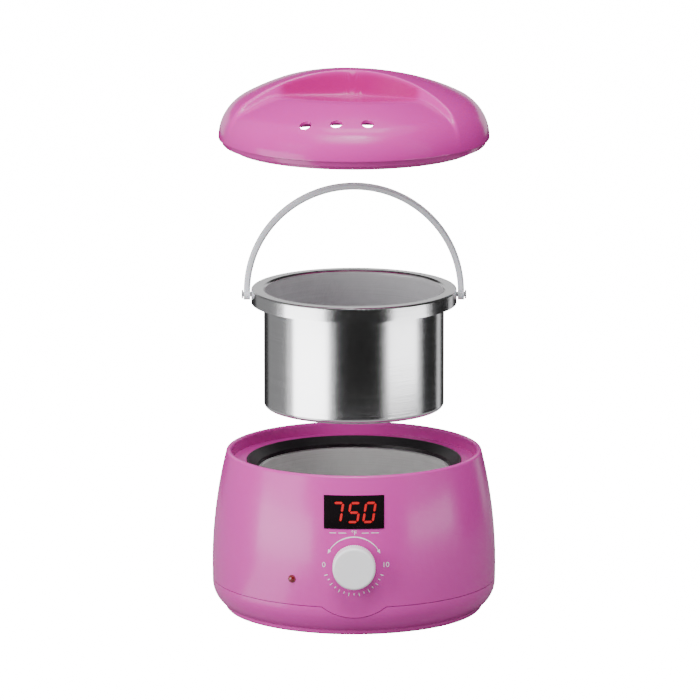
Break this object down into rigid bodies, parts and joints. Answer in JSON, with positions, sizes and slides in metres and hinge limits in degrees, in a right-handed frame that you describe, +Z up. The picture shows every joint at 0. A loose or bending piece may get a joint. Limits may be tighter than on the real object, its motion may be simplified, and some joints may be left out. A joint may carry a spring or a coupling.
{
  "type": "wax warmer pot",
  "caption": "Round heated base with a dial and a digital display, a lift-out metal pot with a swinging bail, and a domed ridge-grip lid stored lifted above it.",
  "frame": {"origin": "on the floor under the middle of the base", "axes": "+Z up, front with the dial towards -Y, +X to the right of someone facing the front"},
  "size_m": [0.1864, 0.1977, 0.3603],
  "materials": {
    "shell_pink": "glossy moulded plastic",
    "collar_black": "satin moulded plastic",
    "well_metal": "brushed",
    "pot_metal": "turned and brushed",
    "bail_white": "slightly cloudy moulded plastic",
    "steel": "plain",
    "screw_steel": "zinc plated",
    "wrap_white": "needled fibre",
    "thermostat_case": "moulded resin",
    "copper": "drawn tube",
    "pin_brass": "plain",
    "fuse_white": "ceramic-like sleeve",
    "window_black": "polished",
    "digit_red": "lit",
    "module_grey": "moulded",
    "board_green": "lacquered laminate",
    "lamp_red": "clear dark red",
    "inlet_black": "moulded",
    "relay_blue": "moulded",
    "capacitor_can": "sleeved",
    "transformer_tan": "taped winding",
    "terminal_green": "moulded",
    "lead_sleeve": "silicone sleeve",
    "flat_lead": "sleeve",
    "foot_rubber": "matt",
    "knob_white": "satin moulded plastic"
  },
  "bodies": {
    "base": {"body_shell": "shell_pink", "lower_shell": "shell_pink", "foot_plate": "shell_pink", "collar_ring": "collar_black", "heating_well": "well_metal", "heater_band": "steel", "heater_clamp": "steel", "heater_tabs": "steel", "insulation_wrap": "wrap_white", "well_brackets": "steel", "bracket_screws": "screw_steel", "thermostat_body": "thermostat_case", "thermostat_nut": "steel", "thermostat_probe": "copper", "probe_clip": "steel", "thermal_fuse": "fuse_white", "display_lens": "window_black", "display_digits": "digit_red", "display_module": "module_grey", "display_board": "board_green", "display_screws": "screw_steel", "indicator_lens": "lamp_red", "indicator_board": "board_green", "power_inlet": "inlet_black", "inlet_pins": "pin_brass", "control_board": "board_green", "board_screws": "screw_steel", "relay": "relay_blue", "capacitors": "capacitor_can", "transformer": "transformer_tan", "terminal_block": "terminal_green", "mains_leads": "lead_sleeve", "heater_leads": "copper", "display_lead": "flat_lead", "bottom_screws": "screw_steel", "rubber_feet": "foot_rubber"},
    "dial": {"knob": "knob_white", "thermostat_shaft": "steel", "knob_spring": "steel"},
    "pot": {"pot_shell": "pot_metal", "bail_studs": "steel"},
    "bail": {"bail_handle": "bail_white"},
    "lid": {"lid_shell": "shell_pink"}
  },
  "joints": [
    {"name": "pot_lift", "type": "slide", "parent": "base", "child": "pot", "axis": [0, 0, 1], "range_m": [-0.106, 0]},
    {"name": "lid_lift", "type": "slide", "parent": "pot", "child": "lid", "axis": [0, 0, 1], "range_m": [-0.098, 0]},
    {"name": "bail_swing", "type": "hinge", "parent": "pot", "child": "bail", "pos_m": [0, 0, 0.2104], "axis": [1, 0, 0], "range_deg": [0, 90]},
    {"name": "knob_turn", "type": "hinge", "parent": "base", "child": "dial", "pos_m": [0, -0.098, 0.0498], "axis": [0, 1, 0], "range_deg": [-90, 90]}
  ],
  "couplings": [
    {"joint": "bail_swing", "follows": "lid_lift", "rad_per_m": -16.02}
  ]
}
